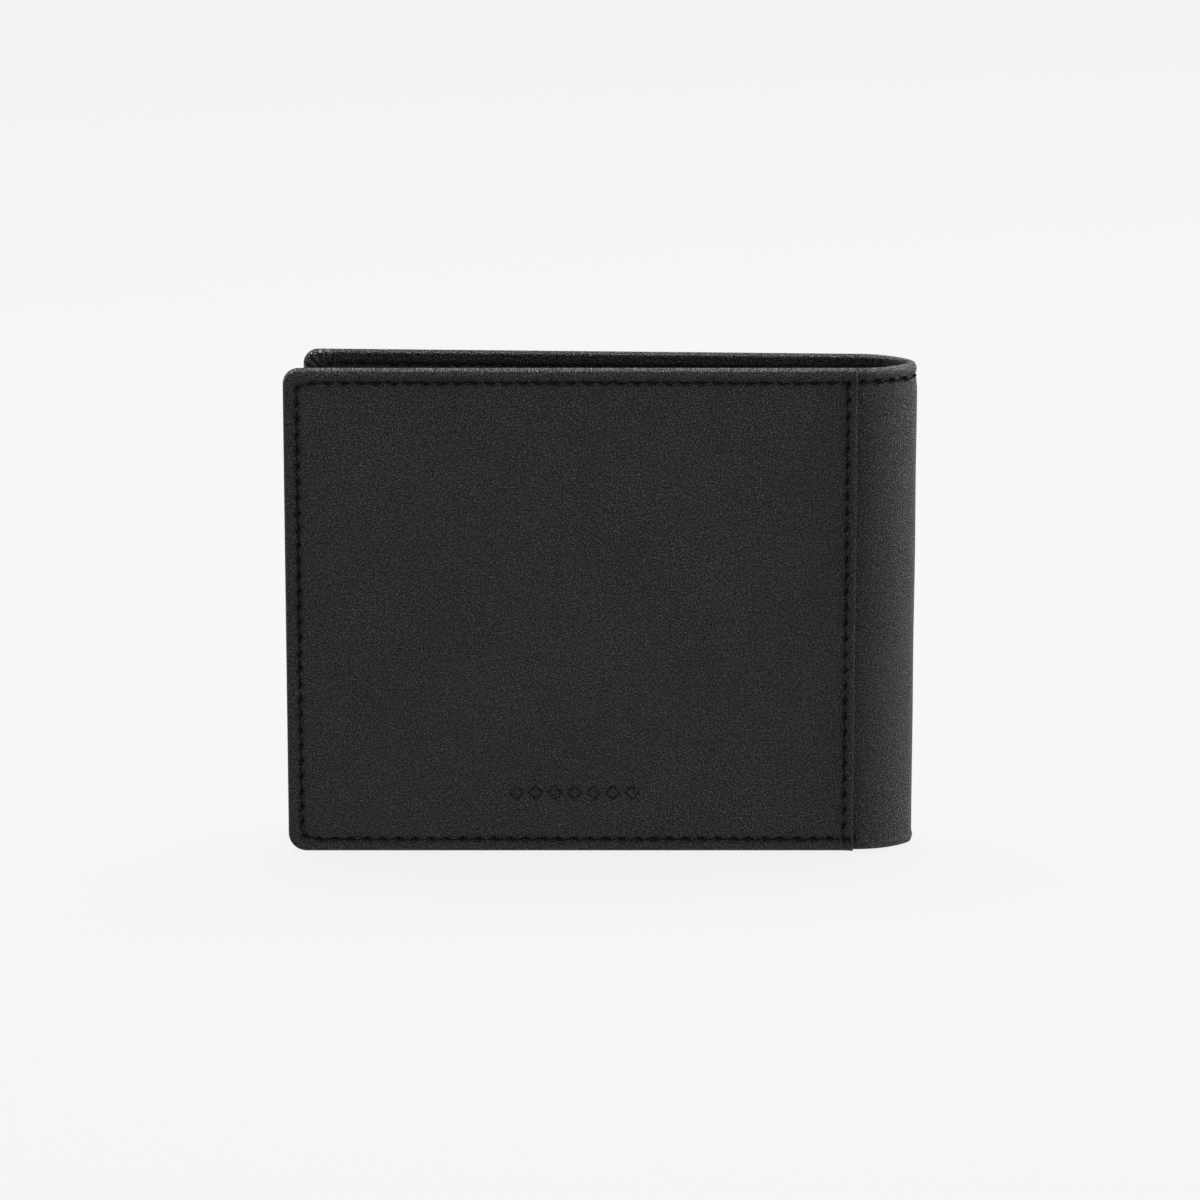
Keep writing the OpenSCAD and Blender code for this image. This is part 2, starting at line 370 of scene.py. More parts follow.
# Waves per metre along x and z that make a stitch unlike the ones beside it.
STITCH_PHASE = (4700, 5600)
STITCH_FLATNESS = 0.8
STITCH_SIDES = 8


def add_stitch(mesh, start, end, across, up):
    """One stitch from hole to hole; every one is slanted and placed a little differently."""
    phase = STITCH_PHASE[0] * start[0] + STITCH_PHASE[1] * start[2]
    slant = STITCH_SLANT * (1 + STITCH_ODDNESS * math.sin(phase))
    shift = STITCH_SHIFT * math.cos(2.3 * phase)
    angles = np.linspace(0, math.tau, STITCH_SIDES + 1)
    rows = []
    for share, side, height, thickness in STITCH_SHAPE:
        centre = start + (end - start) * share + across * (slant * side + shift) + up * height * MM
        radius = THREAD_R * thickness
        round_it = [across * math.cos(a) + up * STITCH_FLATNESS * math.sin(a) for a in angles]
        rows.append([centre + radius * way for way in round_it])
    shares = np.array([row[0] for row in STITCH_SHAPE])
    flat = np.stack(np.meshgrid(shares * PITCH, angles / math.tau * MM, indexing="ij"), axis=-1)
    index = mesh.add(np.array(rows), flat, 0).reshape(len(rows), -1)
    mesh.grid(index)
    for row in (index[0], index[-1]):
        mesh.faces.append(row[:-1].tolist())


def add_flat_run(mesh, holes, place, level, outside):
    """A run of stitches on a half's face at distance level from the centre plane."""
    zero = np.zeros(1)
    up = (place(zero, zero + 1, zero) - place(zero, zero, zero))[0] * outside
    points = place(holes[:, 0], np.full(len(holes), level), holes[:, 1])
    for start, end in zip(points, points[1:]):
        across = np.cross(up, (end - start) / np.linalg.norm(end - start))
        add_stitch(mesh, start, end, across, up)


# ---- the shell's leather ----

RING_STEPS = np.array([0, 0.02, 0.08, 0.18, 0.3, 0.42, 0.56, 0.7, 0.8]) * MM
SEAM_STEPS = np.arange(1.0, 5.6, 0.25) * MM
HEM_STEPS = np.array([6, 6.5, 6.8, 7, 7.2, 7.6]) * MM
INSETS = np.concatenate([RING_STEPS, SEAM_STEPS, HEM_STEPS])
FINE = 0.33 * MM
COARSE = 2.5 * MM
RING_GAP = 0.6 * MM
ARC_POINTS = 27
MIN_CORNER_R = 0.25 * MM
# How far in from the edge the pale edge reaches, the band along the top where it is full, and its
# share elsewhere: partly rubbing, and a painted highlight along the top crest.
WEAR_AND_SHEEN_REACH = 0.3 * MM
TOP_WEAR_AND_SHEEN_HEIGHT = 4 * MM
SIDE_WEAR_AND_SHEEN = 0.25


def spaced(lo, hi, step):
    return np.linspace(lo, hi, max(2, round((hi - lo) / step) + 1))


def outline(u0, u1, z0, z1, inset, radius, closed):
    """The outline of a panel at an inset, from the fold's top corner round the free side.
    radius is the upper and the lower corner's."""
    lo_u, hi_u, lo_z, hi_z = u0 + inset * closed, u1 - inset, z0 + inset, z1 - inset
    r_hi, r_lo = (max(r - inset, MIN_CORNER_R) for r in radius)
    arc = np.linspace(0, math.pi / 2, ARC_POINTS)[1:-1]
    long_n = round((u1 - u0) / FINE)
    side_n = round((z1 - z0) / FINE)
    parts = [
        (np.linspace(lo_u, hi_u - r_hi, long_n), np.full(long_n, hi_z)),
        (hi_u - r_hi * (1 - np.sin(arc)), hi_z - r_hi * (1 - np.cos(arc))),
        (np.full(side_n, hi_u), np.linspace(hi_z - r_hi, lo_z + r_lo, side_n)),
        (hi_u - r_lo * (1 - np.cos(arc)), lo_z + r_lo * (1 - np.sin(arc))),
        (np.linspace(hi_u - r_lo, lo_u, long_n), np.full(long_n, lo_z)),
    ]
    if closed:
        parts.append((np.full(side_n, lo_u)[1:], np.linspace(lo_z, hi_z, side_n)[1:]))
    return np.concatenate([np.stack(part, axis=1) for part in parts])


def share_along(points):
    length = np.concatenate([[0], np.cumsum(np.linalg.norm(np.diff(points, axis=0), axis=1))])
    return length / length[-1]


def rim_of(index, closed):
    """A grid's outer points in the order of outline(), for a grid of u by z."""
    parts = [index[:, -1], index[-1, -2::-1], index[-2::-1, 0]]
    if closed:
        parts.append(index[0, 1:])
    return np.concatenate(parts)


def edge_wear_and_sheen(u, z, inset):
    """Edges are paler: partly from rubbing, and most of all along the top, as a painted highlight on
    the crest.
    """
    high = smooth((z - TOP + TOP_WEAR_AND_SHEEN_HEIGHT) / TOP_WEAR_AND_SHEEN_HEIGHT)
    return np.exp(-inset / WEAR_AND_SHEEN_REACH) * (SIDE_WEAR_AND_SHEEN + (1 - SIDE_WEAR_AND_SHEEN) * high)


def leather_face(mesh, half, box, radius, closed, level, insets, field, wear=edge_wear_and_sheen):
    """One face of a panel: rings of points near its edges, and a plain grid inside them.
    level(u, z, inset) gives the face's distance from the centre plane."""
    u0, u1, z0, z1 = box
    rings, shares = [], []
    for inset in insets:
        at = outline(u0, u1, z0, z1, inset, radius, closed)
        u, z = at[:, 0], at[:, 1]
        inset = np.full(len(u), inset)
        points = half.place(u, level(u, z, inset), z)
        rings.append(mesh.add(points, half.flat(u, z), wear(u, z, inset)))
        shares.append(share_along(at))
    mesh.grid(np.array(rings))
    last = insets[-1] + RING_GAP
    us = field[0](u0 + last * closed, u1 - last)
    zs = field[1](z0 + last, z1 - last)
    u, z = np.meshgrid(us, zs, indexing="ij")
    inset = np.minimum(np.minimum(u1 - u, z - z0), z1 - z)
    if closed:
        inset = np.minimum(inset, u - u0)
    points = half.place(u, level(u, z, inset), z)
    inner = mesh.add(points, half.flat(u, z), wear(u, z, inset).ravel()).reshape(u.shape)
    mesh.grid(inner)
    rim = rim_of(inner, closed)
    rim_at = np.stack([u.ravel(), z.ravel()], axis=1)[rim - inner[0, 0]]
    mesh.zip(rings[-1], shares[-1], rim, share_along(rim_at))
    return rings, inner


def plain_lines(lo, hi):
    return spaced(lo, hi, COARSE)


PLAIN = (plain_lines, plain_lines)


def seam_corners(start_u, half_u, inset=SEAM_INSET, bottom=BOTTOM_SEAM_INSET):
    """A seam along the top, round the free side and back along the bottom."""
    side = half_u - inset
    return [(start_u, TOP - inset), (side, TOP - inset), (side, bottom), (start_u, bottom)]


def cap_end(mesh, faces):
    """Closes the end at the fold, between the outer and the inner face."""
    outer, inner = ([*[r[0] for r in rings], *grid[0, ::-1], *[r[-1] for r in rings[::-1]]]
                    for rings, grid in faces)
    for a, b, c, d in zip(outer, outer[1:], inner[1:], inner):
        mesh.faces.append((a, b, c, d))


HEM_END = 7.15 * MM
HEM_SLOPE = 0.4 * MM
SEAM_REACH = 5.5 * MM
SEAM_FADE = 0.8 * MM
RIPPLE, RIPPLE_FADE = 0.05 * MM, 3 * MM
INNER_RELIEF = 0.6
# The rear half's share of the pale edge: smaller, so less painted highlight sits on its crest.
REAR_WEAR_AND_SHEEN = 0.15
PLEAT_REACH = 6.2 * MM
PLEAT_START = 1.5 * MM
PLEAT_GROWTH = 4 * MM
PLEAT_RATE = 14
PLEAT_HEIGHT, PLEAT_FADE = 0.45 * MM, 0.5 * MM
# How pale the pleats' ridges are painted: a painted highlight where the ridges would catch light.
PLEAT_SHEEN = 1.6


def edge_thickness(u, z):
    """The shell's thickness at its edges: with the hem, except under the fold's bottom."""
    bottom = 1 - smooth((z - 0.4 * TOP) / (0.2 * TOP))
    return LEATHER_T + HEM_T * (1 - bottom * (1 - smooth((u - BESIDE_FOLD) / MM)))


def hem_height(inset, thick):
    """How far the turned hem stands off the leather's inner face."""
    return smooth((HEM_END - inset) / HEM_SLOPE) * (thick - LEATHER_T)


def fan(u, z, far_u):
    """Pleats of the hem where it is gathered round the free corners, up to 1 on a ridge."""
    height = 0
    for corner_z, way in ((TOP, 1), (0, -1)):
        x, y = u - (far_u - PLEAT_REACH), way * (z - corner_z) + PLEAT_REACH
        inside = smooth((x + MM) / (2 * MM)) * smooth((y + MM) / (2 * MM))
        pleat = np.abs(np.cos(np.arctan2(y, x) * PLEAT_RATE)) ** 1.5
        height = height + inside * pleat * smooth((np.hypot(x, y) - PLEAT_START) / PLEAT_GROWTH)
    return height


def seam_depth(relief, u, z, inset, fade=SEAM_FADE):
    """How far a seam near the edges has sunk the leather; nothing at the very edge."""
    near = inset < SEAM_REACH
    sunk = np.zeros(np.shape(u))
    sunk[near] = relief.depth(u[near], z[near])
    return sunk * smooth(inset / fade)


def cover_levels(half, relief):
    """The outer and the inner face of a half's cover leather."""

    def outer(u, z, inset):
        sunk = seam_depth(relief, u, z, inset) - puff(inset)
        uneven = ripple(half.flat_x(u), z, RIPPLE) * smooth(inset / RIPPLE_FADE)
        bare = 1 - smooth((u - 0.5 * POCKET_U) / POCKET_U) if half is FRONT else 1
        return OUTER_W - roll(inset, edge_thickness(u, z) / 2) + (uneven - sunk) * bare

    def inner(u, z, inset):
        thick = edge_thickness(u, z)
        pleats = PLEAT_HEIGHT * fan(u, z, half.far_u) * smooth(inset / PLEAT_FADE)
        pleats = pleats * smooth((HEM_W - inset) / MM)
        flat = LEATHER_W - hem_height(inset, thick) + roll(inset, thick / 2)
        return flat + INNER_RELIEF * seam_depth(relief, u, z, inset) - pleats

    return outer, inner


def cover(half, relief, material):
    mesh = Mesh()
    # The rear half gets less of the pale edge, which is partly painted highlight.
    rubbed_and_sheen = 1 if half is FRONT else REAR_WEAR_AND_SHEEN

    def outer_wear_and_sheen(u, z, inset):
        return rubbed_and_sheen * edge_wear_and_sheen(u, z, inset)

    # The inner face is also painted paler on the pleats' ridges, as a painted highlight.
    def inner_wear_and_sheen(u, z, inset):
        return np.maximum(outer_wear_and_sheen(u, z, inset), PLEAT_SHEEN * fan(u, z, half.far_u) ** 3)

    box = (0, half.far_u, 0, TOP)
    made = [leather_face(mesh, half, box, CORNER_R, False, level, INSETS, PLAIN, wear)
            for level, wear in zip(cover_levels(half, relief), (outer_wear_and_sheen, inner_wear_and_sheen))]
    cap_end(mesh, made)
    dress(mesh, half, "cover_leather", "cover", material)


# ---- the layers inside ----

# Rings over a rounded edge, in radii of the edge.
ROLLED = np.array([0, 0.04, 0.15, 0.35, 0.65, 1])
DENT_FADE = 0.4 * MM
INNER_RIPPLE = 0.04 * MM
FLAT_RIPPLE = 0.03 * MM
CREASE_R = 0.22 * MM
SLOT_CREASE, SLOT_CREASE_AT = 0.13 * MM, 1.7 * MM
SLOT_BOW, SLOT_BOW_REACH = 0.22 * MM, 9 * MM
SLOT_TURN, SLOT_TURN_STEP, SLOT_TURN_SLOPE = 5.5 * MM, 0.07 * MM, 0.6 * MM
SLOT_TURN_LINES = (6.6 * MM, 4.6 * MM, 0.3 * MM)
BAND_CREASE, BAND_CREASE_AT = 0.12 * MM, 1.3 * MM
TOP_CREASE, TOP_CREASE_AT, TOP_CREASE_R = 0.1 * MM, 0.8 * MM, 0.2 * MM
BOARD_STEP = 0.6 * MM
BOARD_STEP_LINES = (2 * MM, 3.4 * MM, 0.2 * MM)
SLOT_RINGS = np.arange(0.5, 4.2, 0.25) * MM
BAND_RINGS = np.arange(0.3, 3.4, 0.2) * MM


def lines_with(first, last, step):
    """Grid lines with closer ones from first to last, where a panel has that stretch."""
    def lines(lo, hi):
        found = [plain_lines(lo, hi)]
        if first > lo and last < hi:
            found.append(spaced(first, last, step))
        found = np.unique(np.concatenate(found).round(6))
        return np.concatenate([[lo], found[(found > lo + 1e-5) & (found < hi - 1e-5)], [hi]])
    return lines


def add_layer(mesh, half, box, w0, w1, dent=None, insets=(), z_lines=plain_lines):
    """A panel with rounded edges between two distances; its visible face, at w0, may be dented."""
    edge = (w1 - w0) / 2
    rings = edge * np.append(ROLLED, 1.5)

    def seen(u, z, inset):
        flat = w0 + roll(inset, edge)
        return flat if dent is None else flat + dent(u, z) * smooth(inset / DENT_FADE)

    def hidden(u, z, inset):
        return w1 - LAYER_GAP - roll(inset, edge - LAYER_GAP)

    seen_rings = np.concatenate([rings, insets])
    leather_face(mesh, half, box, INNER_CORNER_R, True, seen, seen_rings, (plain_lines, z_lines))
    leather_face(mesh, half, box, INNER_CORNER_R, True, hidden, rings, PLAIN)


def dress(mesh, half, name, node, material):
    """Makes a half's piece, which stands in for a part of the model and moves with the half."""
    piece = mesh.finish(f"{half.name}_{name}", material)
    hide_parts(f"{half.name}_{node}")
    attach(piece, half.body)
    return piece


def groove(at, line, depth, width):
    return depth * np.exp(-((at - line) / width) ** 2)


def inner_runs(half):
    """Seams of the inner panels by the layer that they show on: slot 1 to 4, and 5 for the band."""
    lo_u, hi_u = PANEL_U + INNER_SEAM_INSET, half.far_u - PANEL_SIDE - INNER_SEAM_INSET
    low, top = PANEL_Z + INNER_SEAM_INSET, WALL_Z - INNER_SEAM_INSET
    first = [(lo_u, MOUTH_Z[1] - MM), (lo_u, low), (hi_u, low), (hi_u, MOUTH_Z[1] - MM)]
    runs = {1: [holes_of(first)]}
    for n in SLOTS[1:]:
        ends = MOUTH_Z[n - 1] + MM, MOUTH_Z[n] - MM
        runs[n] = [holes_of([(u, ends[0]), (u, ends[1])]) for u in (lo_u, hi_u)]
    runs[len(SLOTS) + 1] = [holes_of([(lo_u, top), (hi_u, top)])]
    return runs


def slot_face(n):
    return SLOTS_W - (len(SLOTS) - n + 1) * SLOT_T


def card_slot(half, n, runs, material):
    """A pocket for a card, with a turned mouth that a creasing tool has lined."""
    mesh = Mesh()
    side_u, mouth = half.far_u - PANEL_SIDE, MOUTH_Z[n]
    relief = Relief(runs)

    def dent(u, z):
        share = np.clip((u - PANEL_U) / (side_u - PANEL_U), 0, 1)
        bow = -SLOT_BOW * np.sin(math.pi * share) * smooth(1 - (mouth - z) / SLOT_BOW_REACH)
        line = groove(z, mouth - SLOT_CREASE_AT, SLOT_CREASE, CREASE_R)
        turn = SLOT_TURN_STEP * smooth((mouth - z - SLOT_TURN) / SLOT_TURN_SLOPE)
        return bow + line + turn + relief.depth(u, z) + ripple(u, z + 0.01 * n, INNER_RIPPLE)

    box = (PANEL_U, side_u, SLOT_BOTTOM_Z[n], mouth)
    first, last, step = SLOT_TURN_LINES
    z_lines = lines_with(mouth - first, mouth - last, step)
    w0 = slot_face(n)
    add_layer(mesh, half, box, w0, w0 + SLOT_T, dent, SLOT_RINGS, z_lines)
    dress(mesh, half, f"slot_{n}_leather", f"card_slot_{n}", material)


def inner_panels(half, runs, material):
    """The leather behind the card slots and the band over them."""
    side_u = half.far_u - PANEL_SIDE
    w0, w1 = BASE_W - BASE_T, BASE_W
    mesh = Mesh()
    add_layer(mesh, half, (PANEL_U, side_u, PANEL_Z, BASE_Z), w0, w1)
    dress(mesh, half, "base_leather", "card_base", material)
    relief = Relief(runs)
    low = BASE_Z + BASE_GAP

    def dent(u, z):
        lower = groove(z, low + BAND_CREASE_AT, BAND_CREASE, CREASE_R)
        upper = groove(z, WALL_Z - TOP_CREASE_AT, TOP_CREASE, TOP_CREASE_R)
        return lower + upper + relief.depth(u, z) + ripple(u, z, FLAT_RIPPLE)

    mesh = Mesh()
    add_layer(mesh, half, (PANEL_U, side_u, low, WALL_Z), w0, w1, dent, BAND_RINGS)
    dress(mesh, half, "band_leather", "top_band", material)


def inner_wall(half, material):
    """The compartment's cloth wall, with a rim at the free side and the bottom."""
    side_u, rim_z = half.far_u - PANEL_SIDE, PANEL_Z + RIM_W
    mesh = Mesh()

    def sag(u, z):
        return ripple(u, z, INNER_RIPPLE)

    add_layer(mesh, half, (PANEL_U, side_u, PANEL_Z, WALL_Z), WALL_W - WALL_T, WALL_W, sag)
    add_layer(mesh, half, (PANEL_U, side_u, PANEL_Z, rim_z), WALL_W, HEM_IN_W)
    add_layer(mesh, half, (side_u - RIM_W, side_u, rim_z, WALL_Z), WALL_W, HEM_IN_W)
    piece = dress(mesh, half, "wall_cloth", "inner_wall", material)


def inner_stitches(half, runs, material):
    mesh = Mesh()
    for n, some in runs.items():
        level = slot_face(n) if n in SLOTS else BASE_W - BASE_T
        for run in some:
            add_flat_run(mesh, run, half.place, level + THREAD_SINK, -1)
    dress(mesh, half, "inner_stitches", "inner_thread", material)


def board(half, material):
    mesh = Mesh()
    box = (PANEL_U + BOARD_GAP, half.far_u - LINING_INSET, LINING_INSET, TOP - LINING_INSET)
    add_layer(mesh, half, box, BOARD_W, LEATHER_W)
    dress(mesh, half, "stiffener", "board", material)


def lining(half, material):
    """The lining of a half: against the leather at the fold, and over the board further on."""
    mesh = Mesh()

    def seen(u, z, inset):
        near_fold = 1 - smooth((u - BESIDE_FOLD) / BOARD_STEP)
        flat = LINING_W + (LEATHER_W - BOARD_W) * near_fold + roll(inset, LINING_T / 2)
        return flat + ripple(half.flat_x(u), z, FLAT_RIPPLE) * smooth(u / (2 * MM))

    def hidden(u, z, inset):
        return seen(u, z, inset) + LINING_T - 2 * roll(inset, LINING_T / 2)

    far = half.far_u - LINING_INSET
    box = (0, far, LINING_INSET, TOP - LINING_INSET)
    rings = LINING_T / 2 * np.append(ROLLED, 3)
    fields = (lines_with(*BOARD_STEP_LINES), plain_lines)
    made = [leather_face(mesh, half, box, INNER_CORNER_R, False, face, rings, fields)
            for face in (seen, hidden)]
    cap_end(mesh, made)
    piece = dress(mesh, half, "lining_cloth", "lining", material)


# ---- the pocket panel with its motif ----

MOTIF_U = (41.3 * MM, 67.2 * MM)
MOTIF_Z = (10.2 * MM, 13.4 * MM)
MOTIF_N = 7
MOTIF_DEPTH = 0.32 * MM
# How much paler and glossier the pressed marks are: partly burnished, partly a painted glint.
MOTIF_POLISH_AND_SHEEN = 0.6
MOTIF_MARGIN = 0.6 * MM
MOTIF_STEP = 0.14 * MM
# A lozenge by shares of its cell: half its width and height, and where its pressed line runs.
MOTIF_HALF = (0.42, 0.5)
MOTIF_LINE, MOTIF_LINE_R = 0.82, 0.15
POCKET_ROLL = 0.62
POCKET_FADE = 0.7 * MM
POCKET_CROWN, POCKET_CROWN_START, POCKET_CROWN_REACH = 0.25 * MM, 3 * MM, 25 * MM
POCKET_LIFT, POCKET_LIFT_R = 0.3 * MM, 1.1 * MM
POCKET_RIPPLE, POCKET_RIPPLE_FADE = 0.09 * MM, 4 * MM
# How the bottom and the top seam end beside the panel's edge: distance from it and pitch.
POCKET_ENDS = ((0.3 * MM, 0.8 * MM), (0.2 * MM, 1.6 * MM))
# Share of the pale edge on the pocket panel: less than on the cover, whose crest carries the painted
# highlight.
POCKET_WEAR_AND_SHEEN = 0.45


def motif_lines(first, last):
    """Grid lines that are close together over the motif."""
    def lines(lo, hi):
        a, b = first - MOTIF_MARGIN, last + MOTIF_MARGIN
        before, after = spaced(lo, a, COARSE)[:-1], spaced(b, hi, COARSE)[1:]
        return np.concatenate([before, spaced(a, b, MOTIF_STEP), after])
    return lines


def motif(u, z):
    """A row of small pressed lozenges, from 0 on the plain leather to 1 in the marks."""
    cell = (MOTIF_U[1] - MOTIF_U[0]) / MOTIF_N
    x = ((u - MOTIF_U[0]) % cell) / cell - 0.5
    y = (z - sum(MOTIF_Z) / 2) / (MOTIF_Z[1] - MOTIF_Z[0])
    size = np.abs(x) / MOTIF_HALF[0] + np.abs(y) / MOTIF_HALF[1]
    inside = (u > MOTIF_U[0]) & (u < MOTIF_U[1])
    return np.exp(-((size - MOTIF_LINE) / MOTIF_LINE_R) ** 2) * inside


def pocket_runs():
    """Seams of the pocket panel: round it, down its side, and the ends that pass its edge."""
    start = POCKET_U + POCKET_SEAM_INSET
    low, high = BOTTOM_SEAM_INSET, TOP - SEAM_INSET
    round_seam = holes_of(seam_corners(start, FRONT_U))
    ends = [holes_of([(start, z), (POCKET_U + side, z)], 0, pitch)
            for z, (side, pitch) in zip((low, high), POCKET_ENDS)]
    upright = holes_of([(start, high), (start, low)])
    return [round_seam, *ends, upright]


def pocket_levels(relief):
    """The outer and the inner face of the pocket panel."""
    thick = POCKET_W - OUTER_W

    def outer(u, z, inset):
        sunk = seam_depth(relief, u, z, inset, POCKET_FADE)
        crown = POCKET_CROWN * smooth((inset - POCKET_CROWN_START) / POCKET_CROWN_REACH)
        crown = crown + puff(inset)
        lift = POCKET_LIFT * np.exp(-((u - POCKET_U) / POCKET_LIFT_R) ** 2)
        uneven = ripple(-u, z, POCKET_RIPPLE) * smooth(inset / POCKET_RIPPLE_FADE)
        flat = POCKET_W - roll(inset, POCKET_ROLL * thick)
        return flat - sunk + crown + lift + uneven - MOTIF_DEPTH * motif(u, z)

    def inner(u, z, inset):
        return OUTER_W + LAYER_GAP + roll(inset, (1 - POCKET_ROLL) * thick - LAYER_GAP)

    return outer, inner


def pocket_wear_and_sheen(u, z, inset):
    """The panel's edge is made less pale than the cover's crest, which carries the painted highlight;
    the pressed marks are paler and glossier, partly burnished and partly a painted glint.
    """
    return POCKET_WEAR_AND_SHEEN * edge_wear_and_sheen(u, z, inset) + MOTIF_POLISH_AND_SHEEN * motif(u, z)


def pocket_panel(relief, material):
    mesh = Mesh()
    outer, inner = pocket_levels(relief)
    box = (POCKET_U, FRONT_U, 0, TOP)
    rings = np.concatenate([RING_STEPS, SEAM_STEPS])
    fields = (motif_lines(*MOTIF_U), motif_lines(*MOTIF_Z))
    leather_face(mesh, FRONT, box, CORNER_R, True, outer, rings, fields, pocket_wear_and_sheen)
    leather_face(mesh, FRONT, box, CORNER_R, True, inner, RING_STEPS, PLAIN)
    dress(mesh, FRONT, "pocket_leather", "pocket_panel", material)


# ---- the fold ----

FOLD_NAMES = ("front", "middle", "rear")
FOLD_STRIPS = ((1,), (1, 2), (2,))
FOLD_PUCKER = 1.0
FOLD_SWELL = 0.9
FOLD_PULL, FOLD_PULL_HEIGHT = 0.35 * MM, 6 * MM
FOLD_END = 4 * MM
FOLD_LINING_STEP = 0.4 * MM
# Depths of the lining's faces under the leather's, in thicknesses of the lining.
FOLD_LINING_FACES = (0.05, 1)


def finish_fold(mesh, bend, name, node, material):
    """Makes a piece of one bend and hides the parts of the model that it stands in for."""
    piece = mesh.finish(f"spine_{FOLD_NAMES[bend]}_{name}", material)
    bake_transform(piece)
    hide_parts(*[f"{node}_{n}" for n in FOLD_STRIPS[bend]])
    return piece


def close_ends(mesh, outer, inner):
    """Joins the ends of two grids across the bend."""
    for end in (0, -1):
        mesh.grid(np.stack([outer[end], inner[end]]))


def fold_holes():
    """Needle holes of the top seam over the fold, by the distance along the outer face."""
    return np.linspace(0, FOLD_LENGTH, round(FOLD_LENGTH / PITCH) + 1)


def middle_share(s):
    """1 at the middle of the fold and 0 where it meets the halves."""
    return smooth(1 - np.abs(2 * s / FOLD_LENGTH - 1) * 0.9)


def past_ends(s):
    """0 where the fold meets the halves and 1 from a few millimetres on."""
    return smooth(np.minimum(s, FOLD_LENGTH - s) / FOLD_END)


def fold_depths(relief):
    """Depth of the outer and the inner face of the fold's leather under its outer level."""

    def shared(s, z):
        """Thickness at the edge, distance from the edge, pull of the top edge and seam depth."""
        thick = edge_thickness(np.zeros_like(z), z)
        inset = np.minimum(z, TOP - z)
        high = smooth((z - (TOP - FOLD_PULL_HEIGHT)) / FOLD_PULL_HEIGHT)
        pull = FOLD_PULL * middle_share(s) * high
        sunk = relief.depth(s, z, 1 + FOLD_PUCKER * past_ends(s)) * smooth(inset / SEAM_FADE)
        return thick, inset, pull, sunk

    def outer(s, z):
        thick, inset, pull, sunk = shared(s, z)
        swell = puff(inset) * (1 + FOLD_SWELL * past_ends(s))
        uneven = ripple(s, z, RIPPLE) * smooth(inset / RIPPLE_FADE)
        return roll(inset, thick / 2) + pull + sunk - swell - uneven

    def inner(s, z):
        thick, inset, pull, sunk = shared(s, z)
        flat = LEATHER_T + hem_height(inset, thick)
        return flat - roll(inset, thick / 2) + pull - INNER_RELIEF * sunk

    return outer, inner


def fold_leather(bend, relief, material):
    mesh = Mesh()
    last = INSETS[-1] + RING_GAP
    zs = np.concatenate([TOP - INSETS, plain_lines(last, TOP - last)[::-1], INSETS[::-1]])
    shares = spaced(0, 1, FINE / BEND_LENGTHS[bend])
    share, z = np.meshgrid(shares, zs, indexing="ij")
    s = sum(BEND_LENGTHS[:bend]) + share * BEND_LENGTHS[bend]
    worn_and_sheen = edge_wear_and_sheen(s, z, np.minimum(z, TOP - z)).ravel()
    grids = []
    for depth in fold_depths(relief):
        points = fold_place(bend, share, depth(s, z), z)
        grids.append(mesh.add(points, np.stack([s, z], axis=-1), worn_and_sheen).reshape(s.shape))
        mesh.grid(grids[-1])
    close_ends(mesh, *grids)
    finish_fold(mesh, bend, "leather", "spine_leather", material)


def fold_lining(bend, material):
    """The lining over one bend, from the depth of the leather's inner face on."""
    mesh = Mesh()
    zs = plain_lines(LINING_INSET, TOP - LINING_INSET)
    shares = spaced(0, 1, FOLD_LINING_STEP / BEND_LENGTHS[bend])
    share, z = np.meshgrid(shares, zs, indexing="ij")
    s = sum(BEND_LENGTHS[:bend]) + share * BEND_LENGTHS[bend]
    grids = []
    for part in FOLD_LINING_FACES:
        points = fold_place(bend, share, np.full(s.shape, LEATHER_T + part * LINING_T), z)
        grids.append(mesh.add(points, np.stack([s, z], axis=-1), 0).reshape(s.shape))
        mesh.grid(grids[-1])
    close_ends(mesh, *grids)
    close_ends(mesh, *[grid.T for grid in grids])
    return finish_fold(mesh, bend, "lining", "spine_lining", material)


def fold_stitches(bend, material):
    """The stitches that lie on one bend, on its outer and its inner face."""
    mesh = Mesh()
    holes = (fold_holes() - sum(BEND_LENGTHS[:bend])) / BEND_LENGTHS[bend]
    first, last, _, _ = BENDS[bend]
    z = np.array([TOP - SEAM_INSET])
    for start, end in zip(holes, holes[1:]):
        middle = (start + end) / 2
        if not 0 <= middle < 1:
            continue
        for depth, outside in ((THREAD_SINK, 1), (LEATHER_T + HEM_T - THREAD_SINK, -1)):
            a, b = (fold_place(bend, np.array([hole]), np.array([depth]), z)[0]
                    for hole in (start, end))
            up = np.append(outward(first + middle * (last - first)), 0) * outside
            add_stitch(mesh, a, b, np.cross(up, (b - a) / np.linalg.norm(b - a)), up)
    finish_fold(mesh, bend, "stitches", "spine_thread", material)


# ---- materials ----


